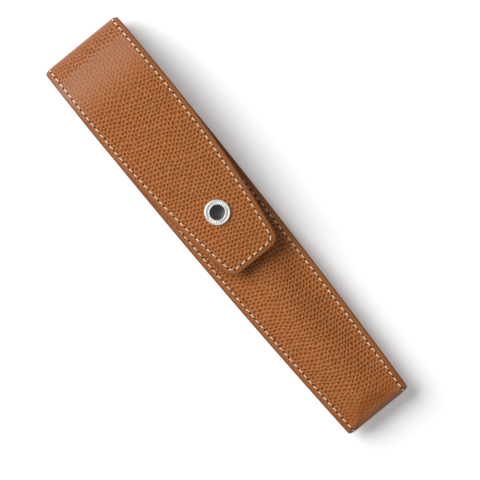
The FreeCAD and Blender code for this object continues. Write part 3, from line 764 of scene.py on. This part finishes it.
def seam(name, rows):
    """One piece from several rows of stitches and needle holes."""
    points, faces, kinds, count = [], [], [], 0
    for part_points, part_faces, kind in sum(rows, []):
        points.append(part_points)
        faces += [[corner + count for corner in face] for face in part_faces]
        kinds += [kind] * len(part_faces)
        count += len(part_points)
    finishes = [material_of(waxed_thread), material_of(needle_hole)]
    return add_piece(name, np.concatenate(points), faces, finishes, face_finish=kinds, sharp=60.0)


def rounded_profile(corners, radius, steps=5):
    """A closed profile with its corners eased by parabolas that start a radius before each corner."""
    corners = np.asarray(corners, dtype=float)
    before, after = np.roll(corners, 1, axis=0), np.roll(corners, -1, axis=0)
    ends = []
    for other in (before, after):
        cut = np.minimum(radius, np.linalg.norm(other - corners, axis=-1) * ROUNDED_SHARE)[:, None]
        ends.append(corners + unit(other - corners) * cut)
    first, last = ends
    t = np.linspace(0.0, 1.0, steps)[:, None]
    eased = (1 - t) ** 2 * first[:, None] + 2 * t * (1 - t) * corners[:, None] + t ** 2 * last[:, None]
    return eased.reshape(-1, corners.shape[1])


def turned(name, profile, middle_x, finish, segments, flutes=0, depth=0.0):
    """A piece turned from a closed profile of radius, height and share of fluting about an upright axis.
    Flutes lower the fluted places by a cosine wave round the turn."""
    angle = np.linspace(0.0, 2.0 * np.pi, segments + 1)[:, None]
    radius, height, fluted = profile.T
    wave = depth * fluted * (1.0 + np.cos(flutes * angle)) / 2.0
    points = np.stack((middle_x + np.cos(angle) * radius, np.sin(angle) * radius, height - wave), axis=-1)
    values = {"fluted": fluted * np.ones_like(angle)}
    return add_piece(name, points, strip_faces(*points.shape[:2], True), [finish], values=values, sharp=50.0)


# Materials

class Value:
    """A socket in a node tree, so that sums on it add Math nodes."""

    def __init__(self, nodes, socket):
        self.nodes, self.socket = nodes, socket

    def __add__(self, other):
        return self.nodes.math("ADD", self, other)

    def __radd__(self, other):
        return self.nodes.math("ADD", other, self)

    def __sub__(self, other):
        return self.nodes.math("SUBTRACT", self, other)

    def __rsub__(self, other):
        return self.nodes.math("SUBTRACT", other, self)

    def __mul__(self, other):
        return self.nodes.math("MULTIPLY", self, other)

    def __rmul__(self, other):
        return self.nodes.math("MULTIPLY", other, self)


class Nodes:
    """A node tree whose nodes are written as expressions."""

    def __init__(self, tree):
        self.tree = tree

    def put(self, socket, value):
        """Link a value to a socket, or set it there."""
        if isinstance(value, Value):
            self.tree.links.new(value.socket, socket)
        else:
            socket.default_value = value

    def node(self, kind, settings=None, inputs=None, output=0):
        """A node of a kind: its settings first, then the values or links of its sockets; gives one output."""
        node = self.tree.nodes.new(kind)
        for name, value in (settings or {}).items():
            setattr(node, name, value)
        for name, value in (inputs or {}).items():
            self.put(node.inputs[name], value)
        return Value(self, node.outputs[output])

    def math(self, operation, first, second=0.0):
        """A Math node on one or two values."""
        return self.node("ShaderNodeMath", {"operation": operation}, {0: first, 1: second})

    def seen_directly(self):
        """1 for rays from the camera, off metal or through glass, and 0 for light that is scattered."""
        camera, glossy, through = [self.node("ShaderNodeLightPath", output=f"Is {kind} Ray")
                                   for kind in ("Camera", "Glossy", "Transmission")]
        return self.math("MAXIMUM", self.math("MAXIMUM", camera, glossy), through)


class Finish(Nodes):
    """The nodes of a new material with one shaded surface."""

    def __init__(self, name):
        self.material = bpy.data.materials.new(name)
        self.material.use_nodes = True
        super().__init__(self.material.node_tree)
        self.surface = self.tree.nodes["Principled BSDF"]

    def mix(self, share, first, second):
        """A colour between two colours."""
        first, second = [shade if isinstance(shade, Value) else (*shade, 1.0) for shade in (first, second)]
        return self.node("ShaderNodeMix", {"data_type": "RGBA"}, {0: share, 6: first, 7: second}, 2)

    def ease(self, value, low, high):
        """A value eased from 0 at low to 1 at high."""
        return self.node("ShaderNodeMapRange", {"interpolation_type": "SMOOTHSTEP"},
                         {"Value": value, "From Min": low, "From Max": high, "To Min": 0.0, "To Max": 1.0})

    def noise(self, where, scale, detail=2.0, roughness=0.5, output="Fac"):
        """Cloudy noise between 0 and 1."""
        return self.node("ShaderNodeTexNoise", {}, {"Vector": where, "Scale": scale, "Detail": detail,
                                                    "Roughness": roughness}, output)

    def strayed(self, place, noise, reach):
        """A place moved along the strip's plane by a noise's colour."""
        return self.node("ShaderNodeVectorMath", {"operation": "MULTIPLY_ADD"},
                         {0: noise, 1: (reach, reach, 0.0), 2: place})

    def attribute(self, name):
        """A value kept at the mesh's points."""
        return self.node("ShaderNodeAttribute", {"attribute_name": name}, output="Fac")

    def object_place(self):
        """Place in the object, in metres."""
        return self.node("ShaderNodeTexCoord", output="Object")

    def strip_place(self):
        """Place on the strip laid flat, in centimetres."""
        return self.node("ShaderNodeUVMap", {"uv_map": "strip"})

    def set(self, **sockets):
        """Values or links of the surface's sockets, with underscores for the spaces in their names."""
        for name, value in sockets.items():
            self.put(self.surface.inputs[name.replace("_", " ")], value)

    def bump(self, height, strength, distance):
        """Normals tilted by a height, over a distance in metres."""
        self.set(Normal=self.node("ShaderNodeBump", {}, {"Height": height, "Strength": strength,
                                                         "Distance": distance}))


def material_of(make):
    """The material whose nodes a function makes, named after it and made the first time it is asked for."""
    made = bpy.data.materials.get(make.__name__)
    if made:
        return made
    finish = Finish(make.__name__)
    make(finish, bpy.context.scene.pen_sleeve_colours)
    return finish.material


def pebbled_leather(f, colours):
    """Tan leather: rows of small pits between rounded pebbles, smooth borders, painted edges, cloudy
    colour, a painted highlight on the ridges, and painted shade in the pits, at the foot, on the smooth
    places and over the fold's ramp. The pits are the sum of three cosine waves across the strip, warped by
    two noises."""
    strip = f.strip_place()
    grain, border, polish_and_shade, burnish_and_shade = [f.attribute(name) for name in ("grain", "border", "polish_and_shade", "burnish_and_shade")]
    place = f.strayed(strip, f.noise(strip, 0.9, 1.0, output="Color"), 0.24)
    place = f.strayed(place, f.noise(strip, 6.0, 1.0, output="Color"), 0.11)
    across, along = [f.node("ShaderNodeSeparateXYZ", {}, {"Vector": place}, axis) for axis in ("X", "Y")]
    rows = f.math("COSINE", along * 36.5 + across * 30.0) * 0.85
    rows = rows + f.math("COSINE", along * 40.0 - across * 16.0) * 1.15
    rows = rows + f.math("COSINE", across * 46.0 - along * 3.5) * 0.95
    deep = f.noise(strip, 4.5, 1.0)
    pit = (rows * 0.18 + 0.40) * (deep * 0.8 + 0.6) * grain
    pores = f.noise(strip, 42.0)
    crackle = f.noise(strip, 15.0)
    cloud = f.noise(strip, 0.9, 3.0, 0.6)
    # Painted shade over the fold and the flap's ramp, which face the lamp, up to 3.4 cm along the strip.
    painted_ramp_shade = f.ease(along, 3.4, 2.2) * f.ease(along, -0.3, 0.3)
    tan = f.mix(f.ease(border, 1.2, 2.6), colours.leather_border, colours.leather)
    for share, shade in ((f.ease(cloud, 0.25, 0.75) * 0.10, colours.edge_paint_and_shade),
                         # Painted highlight on the ridges, over their own lighter tone.
                         (f.ease(pit, 0.40, 0.0) * grain * 0.45, colours.ridge_tone_and_highlight),
                         # Painted shade in the pits, over their own redder tone.
                         (f.ease(pit, 0.25, 0.80) * 0.45, colours.pit_tone_and_shade),
                         # Painted shade over the foot's turn.
                         (burnish_and_shade * 0.60, colours.foot_shade_and_nap),
                         # Painted shade on the smooth places: the fold, its ramp and the foot's end.
                         (polish_and_shade * 0.36, colours.edge_paint_and_shade),
                         # Painted shade over the fold and the flap's ramp.
                         (painted_ramp_shade * 0.25, colours.edge_paint_and_shade),
                         (f.ease(border, 0.45, 0.08) * 0.6, colours.edge_paint_and_shade)):
        tan = f.mix(share, tan, shade)
    shine = polish_and_shade * 0.3 + burnish_and_shade * polish_and_shade * 0.4 + f.ease(pit, 0.45, 0.0) * grain * 0.45
    f.set(Base_Color=tan, Roughness=0.40 + pit * 0.18 + (pores - 0.5) * 0.12, Specular_IOR_Level=0.17,
          Coat_Weight=shine, Coat_Roughness=0.36)
    f.bump(pores * 0.05 + crackle * (1.0 - grain) * 0.26 - pit, 1.0, 0.00052)


def suede_lining(f, colours):
    """Brown split-leather lining with a short matt nap."""
    strip = f.strip_place()
    nap = f.noise(strip, 30.0, 4.0, 0.7)
    cloud = f.noise(strip, 1.3, 3.0)
    shade = f.mix(f.ease(cloud, 0.3, 0.7) * 0.25, colours.lining, colours.edge_paint_and_shade)
    shade = f.mix(f.ease(nap, 0.35, 0.75) * 0.35, shade, colours.foot_shade_and_nap)
    f.set(Base_Color=shade, Roughness=0.82 + (nap - 0.5) * 0.1, Specular_IOR_Level=0.25)
    f.bump(nap, 0.5, 0.00012)


def waxed_thread(f, colours):
    """Cream waxed thread with fine twisted plies."""
    place = f.object_place()
    plies = f.noise(place, 5200.0, 1.0)
    cloud = f.noise(place, 300.0)
    cream = f.mix(f.ease(plies, 0.3, 0.7) * 0.25, colours.thread, colours.thread_ply)
    cream = f.mix(f.ease(cloud, 0.4, 0.8) * 0.18, cream, colours.thread_wax)
    f.set(Base_Color=cream, Roughness=0.58 + plies * 0.1)
    f.bump(plies, 0.3, 0.00006)


def needle_hole(f, colours):
    """Shadowed inside of a needle hole."""
    fibre = f.noise(f.object_place(), 4000.0)
    f.set(Base_Color=f.mix(fibre, colours.needle_hole, colours.hole_fibre), Roughness=0.9 - fibre * 0.1,
          Specular_IOR_Level=0.1)


def metal(f, shade, rough, satin_scale):
    """Plated metal with a faint satin and small wear marks, duller where fluted."""
    place = f.object_place()
    satin = f.noise(place, satin_scale, 3.0, 0.6)
    wear = f.noise(place, 420.0)
    dull, etched = [tuple(share * c for c in shade) for share in (0.86, 0.70)]
    plated = f.mix(f.ease(wear, 0.45, 0.75) * 0.4, shade, dull)
    f.set(Base_Color=f.mix(f.attribute("fluted"), plated, etched), Metallic=1.0,
          Roughness=rough + (satin - 0.5) * 0.10 + f.ease(wear, 0.5, 0.8) * 0.06)
    f.bump(satin, 0.10, 0.00004)


def satin_ring(f, colours):
    """Pale satin plating of the cap's ring."""
    metal(f, colours.cap_ring, 0.42, 2600.0)


def snap_plating(f, colours):
    """Nickel plating of the socket, spring, stud and post."""
    metal(f, colours.snap_metal, 0.26, 3000.0)


def dark_enamel(f, colours):
    """Glossy dark enamel in the middle of the cap."""
    place = f.object_place()
    cloud = f.noise(place, 380.0)
    fleck = f.noise(place, 3000.0)
    f.set(Base_Color=f.mix(f.ease(cloud, 0.35, 0.7), colours.cap_inlay, colours.cap_cloud),
          Roughness=0.26 + fleck * 0.12, Specular_IOR_Level=0.32)
    f.bump(fleck, 0.12, 0.00003)


def pale_floor(f, colours):
    """Matt floor, bright enough where it is seen directly that only the shadow tints it."""
    shade = f.mix(f.noise(f.object_place(), 6.0) * 0.04, colours.floor, colours.floor_cloud)
    f.set(Base_Color=shade, Roughness=0.9, Specular_IOR_Level=0.0)
    white = f.node("ShaderNodeBsdfDiffuse", {}, {"Color": WHITE})
    glow = f.node("ShaderNodeEmission", {}, {"Color": WHITE, "Strength": FLOOR_GLOW})
    lit = f.node("ShaderNodeAddShader", {}, {0: white, 1: glow})
    plain = Value(f, f.surface.outputs[0])
    f.put(f.tree.nodes["Material Output"].inputs["Surface"],
          f.node("ShaderNodeMixShader", {}, {0: f.seen_directly(), 1: plain, 2: lit}))


# Operators, one for each piece or group of like pieces

FOLD_BODIES = ("sleeve", "fold_strip_1", "fold_strip_2", "fold_strip_3", "flap")
BARE_METAL_NODES = ("snap_socket", "snap_spring", "snap_stud", "snap_stud_post")


def place_piece(piece, body, node, slot):
    """Put a piece on its body in the place of its plain solid."""
    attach(piece, body)
    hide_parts(node)


def place_layers(form, body, sheet, make, **options):
    """Make a body's leather and lining and put them in the place of their plain solids."""
    layers = two_layers(form, sheet, make, body + "_{}_sheet", **options)
    for slot, piece in zip(("leather", "lining"), layers):
        place_piece(piece, body, f"{body}_{slot}", slot)


class PENSLEEVE_OT_sleeve(bpy.types.Operator):
    """Make the sleeve's leather and lining: back, foot and front in one sheet"""

    bl_idname = "pen_sleeve.make_sleeve"
    bl_label = "Sleeve"

    def execute(self, context):
        form = SleeveForm(context.scene)
        place_layers(form, "sleeve", sleeve_sheet(form), band, round_end=True)
        return {"FINISHED"}


class PENSLEEVE_OT_flap(bpy.types.Operator):
    """Make the flap's leather and lining"""

    bl_idname = "pen_sleeve.make_flap"
    bl_label = "Flap"

    def execute(self, context):
        form = SleeveForm(context.scene)
        place_layers(form, "flap", flap_sheet(form), tongue, strip_run=form.flap_run)
        return {"FINISHED"}


class PENSLEEVE_OT_fold(bpy.types.Operator):
    """Make the top fold's leather, lining and stitches, in one part for each of its four hinges"""

    bl_idname = "pen_sleeve.make_fold"
    bl_label = "Top fold"

    def execute(self, context):
        form = SleeveForm(context.scene)
        for part, (before, after) in enumerate(zip(FOLD_BODIES, FOLD_BODIES[1:])):
            label = part + 1
            sheet = fold_sheet(form, part)
            leather, lining = two_layers(form, sheet, band, f"fold_{{}}_part_{label}")
            rows = rows_on_both_faces(form, sheet, (SEAM_COLUMN, -1 - SEAM_COLUMN), 1)
            thread = seam(f"fold_thread_part_{label}", rows)
            middle = sheet.points[:, sheet.points.shape[1] // 2] * MM
            for piece, slot in ((leather, "leather"), (lining, "lining"), (thread, "thread")):
                tuple(middle[0])
                tuple(middle[-1])
                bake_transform(piece)
                if after.startswith("fold_strip"):
                    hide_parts(f"fold_{slot}_{label}")
        return {"FINISHED"}


class PENSLEEVE_OT_seams(bpy.types.Operator):
    """Make the thread of the side seams, the mouth and the flap's border"""

    bl_idname = "pen_sleeve.make_seams"
    bl_label = "Seams"

    def execute(self, context):
        form = SleeveForm(context.scene)
        self.sides(form)
        self.mouth(form)
        self.flap(form)
        return {"FINISHED"}

    def sides(self, form):
        """A row along the outer face of each side, and one on the lining where it lies open before the
        mouth."""
        sheet = sleeve_sheet(form)
        inside = sheet.under(form.wall)
        bare = int(np.argmax(sheet.points[:, SEAM_COLUMN, 0] > form.mouth_x))
        for name, column in (("right_seam", SEAM_COLUMN), ("left_seam", -1 - SEAM_COLUMN)):
            rows = [thread_row(form, sheet.points[:, column], sheet.normals[:, column], odd=sheet.odd),
                    thread_row(form, inside.points[:bare, column], -inside.normals[:bare, column])]
            place_piece(seam(f"{name}_stitches", rows), "sleeve", f"{name}_thread", "thread")

    def mouth(self, form):
        """A row across the front, along its upper rim."""
        reach = float(form.half_width(form.mouth_x)) - form.seam_land - MOUTH_SEAM_GAP
        y = np.linspace(-1.0, 1.0, MOUTH_ROWS) * reach
        x = np.full_like(y, form.mouth_x + form.stitch_inset)
        path = np.stack((x, y, form.front(x, y) + form.groove_depth), axis=-1)
        row = thread_row(form, path, height_normals(form.front, x, y, 1))
        place_piece(seam("mouth_seam_stitches", [row]), "sleeve", "mouth_seam_thread", "thread")

    def flap(self, form):
        """A row round the flap's border on its outer face, and one on its lining."""
        rows = rows_on_both_faces(form, flap_sheet(form), (SEAM_COLUMN,), 1, 1)
        place_piece(seam("flap_seam_stitches", rows), "flap", "flap_seam_thread", "thread")


class PENSLEEVE_OT_snap(bpy.types.Operator):
    """Make the press stud's cap and dark centre on the flap, and plate its socket and spring on the flap and
    its stud and post on the front
    """

    bl_idname = "pen_sleeve.make_snap"
    bl_label = "Press stud"

    def execute(self, context):
        form = SleeveForm(context.scene)
        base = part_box("snap_cap")[1][2] / MM - form.cap_height
        top, outer = base + form.cap_height, form.cap_diameter / 2
        inner = outer - form.cap_ring_width
        well = top - form.inlay_depth
        ring = rounded_profile(self.ring(outer, inner, base, top, well), CAP_ROUNDING)
        cap = turned("snap_cap_ring", ring, form.snap_x, material_of(satin_ring), RING_SEGMENTS, FLUTES,
                     FLUTE_DEPTH)
        centre = turned("snap_cap_centre", self.centre(inner, base, well), form.snap_x,
                        material_of(dark_enamel), CENTRE_SEGMENTS)
        place_piece(cap, "flap", "snap_cap", "cap_metal")
        place_piece(centre, "flap", "snap_cap_inlay", "cap_inlay")
        for node in BARE_METAL_NODES:
            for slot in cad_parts[node].material_slots:
                slot.material = material_of(snap_plating)
        return {"FINISHED"}

    def ring(self, outer, inner, base, top, well):
        """Section of the ring as radius, height and share of fluting: its seat, an outer bevel, a thin
        line, the fluted band, a second thin line, and the slope into the well."""
        line, seat, skirt = top - CAP_LINE, base - CAP_SEAT, base - CAP_SKIRT
        return ((AXIS_RADIUS, seat, 0), (outer - 0.25, seat, 0), (outer, base + 0.20, 0),
                (outer - 0.20, top - 0.10, 0), (outer - 0.40, top - 0.01, 0), (outer - 0.50, line, 0),
                (outer - 0.59, top, 0), (outer - 0.68, top, 0), (outer - 0.82, top, 1),
                (inner + 0.58, top, 1), (inner + 0.44, top, 0), (inner + 0.36, top, 0),
                (inner + 0.29, line, 0), (inner + 0.22, top, 0), (inner + 0.08, top - 0.20, 0),
                (inner, well - 0.1, 0), (inner, skirt, 0), (AXIS_RADIUS, skirt, 0))

    def centre(self, inner, base, well):
        """Section of the dark centre: a flat seat, and a parabola that sinks to its middle."""
        rim = inner + CENTRE_LAP
        reach = np.linspace(1.0, 0.0, CENTRE_ROWS) * rim
        height = well - CENTRE_BOWL + CENTRE_BOWL * (reach / inner) ** 2
        bowl = np.stack((np.maximum(reach, AXIS_RADIUS), height, np.zeros(CENTRE_ROWS)), axis=-1)
        seat = base - CENTRE_SEAT
        return np.concatenate((((AXIS_RADIUS, seat, 0), (rim, seat, 0)), bowl))


class PENSLEEVE_OT_stage(bpy.types.Operator):
    """Make the floor, the soft studio light and the camera"""

    bl_idname = "pen_sleeve.make_stage"
    bl_label = "Stage"

    def execute(self, context):
        scene = context.scene
        self.floor()
        self.world(scene)
        self.lamp(scene)
        self.camera(scene)
        scene.view_settings.view_transform = "Standard"
        return {"FINISHED"}

    def floor(self):
        """A flat square grid just under the sleeve."""
        reach = np.linspace(-FLOOR_REACH, FLOOR_REACH, 3)
        x, y = np.meshgrid(reach, reach, indexing="ij")
        points = np.stack((x, y, np.full_like(x, CAD_BOX[0][2] / MM - FLOOR_GAP)), axis=-1)
        floor = add_piece("floor", points, strip_faces(3, 3, False), [material_of(pale_floor)])
        if floor.data.polygons[0].normal.z < 0.0:
            floor.data.flip_normals()

    def world(self, scene):
        """Even studio light from all round, white where the camera, metal or glass sees it."""
        scene.world = scene.world or bpy.data.worlds.new("studio")
        scene.world.use_nodes = True
        n = Nodes(scene.world.node_tree)
        n.tree.nodes.clear()
        strength = n.node("ShaderNodeMapRange", {}, {"Value": n.seen_directly(), "To Min": STUDIO_FILL,
                                                     "To Max": 1.0})
        light = n.node("ShaderNodeBackground", {}, {"Color": WHITE, "Strength": strength})
        n.put(n.tree.nodes.new("ShaderNodeOutputWorld").inputs["Surface"], light)

    def lamp(self, scene):
        """One large soft lamp, up and to the picture's left."""
        light = bpy.data.lights.new("soft_key", "AREA")
        light.shape = "DISK"
        light.size = LAMP_SIZE
        light.energy = LAMP_POWER
        key = bpy.data.objects.new("soft_key", light)
        scene.collection.objects.link(key)
        level = math.cos(LAMP_HEIGHT)
        place = (math.cos(LAMP_AZIMUTH) * level, math.sin(LAMP_AZIMUTH) * level, math.sin(LAMP_HEIGHT))
        key.location = [LAMP_DISTANCE * share for share in place]
        key.rotation_euler = (math.pi / 2 - LAMP_HEIGHT, 0.0, LAMP_AZIMUTH + math.pi / 2)

    def camera(self, scene):
        """Straight above, turned so that the sleeve lies from upper left to lower right."""
        lens = bpy.data.cameras.new("camera")
        lens.lens, lens.sensor_width = CAMERA_LENS, CAMERA_SENSOR
        camera = bpy.data.objects.new("camera", lens)
        scene.collection.objects.link(camera)
        camera.location = CAMERA_PLACE
        camera.rotation_euler = (0.0, 0.0, scene.pen_sleeve_shape.camera_turn)
        scene.camera = camera


class PENSLEEVE_PT_panel(bpy.types.Panel):
    """Sizes, colours and makers of the pen sleeve"""

    bl_idname = "PENSLEEVE_PT_panel"
    bl_label = "Pen Sleeve"
    bl_space_type = "VIEW_3D"
    bl_region_type = "UI"
    bl_category = "Pen Sleeve"

    def draw(self, context):
        for operator in OPERATORS:
            self.layout.operator(operator.bl_idname)
        for name, group in GROUPS:
            box = self.layout.box()
            for label in group.__annotations__:
                box.prop(getattr(context.scene, name), label)


OPERATORS = (PENSLEEVE_OT_sleeve, PENSLEEVE_OT_flap, PENSLEEVE_OT_fold, PENSLEEVE_OT_seams, PENSLEEVE_OT_snap,
             PENSLEEVE_OT_stage)
GROUPS = (("pen_sleeve_sizes", PenSleeveSizes), ("pen_sleeve_shape", PenSleeveShape),
          ("pen_sleeve_colours", PenSleeveColours))


def register():
    for name, group in GROUPS:
        bpy.utils.register_class(group)
        setattr(bpy.types.Scene, name, PointerProperty(type=group))
    for operator in OPERATORS:
        bpy.utils.register_class(operator)
    bpy.utils.register_class(PENSLEEVE_PT_panel)


def unregister():
    bpy.utils.unregister_class(PENSLEEVE_PT_panel)
    for operator in reversed(OPERATORS):
        bpy.utils.unregister_class(operator)
    for name, group in reversed(GROUPS):
        delattr(bpy.types.Scene, name)
        bpy.utils.unregister_class(group)


def main():
    """Make every piece and the stage."""
    register()
    bpy.ops.pen_sleeve.make_sleeve()
    bpy.ops.pen_sleeve.make_flap()
    bpy.ops.pen_sleeve.make_fold()
    bpy.ops.pen_sleeve.make_seams()
    bpy.ops.pen_sleeve.make_snap()
    bpy.ops.pen_sleeve.make_stage()


if __name__ == "__main__":
    main()
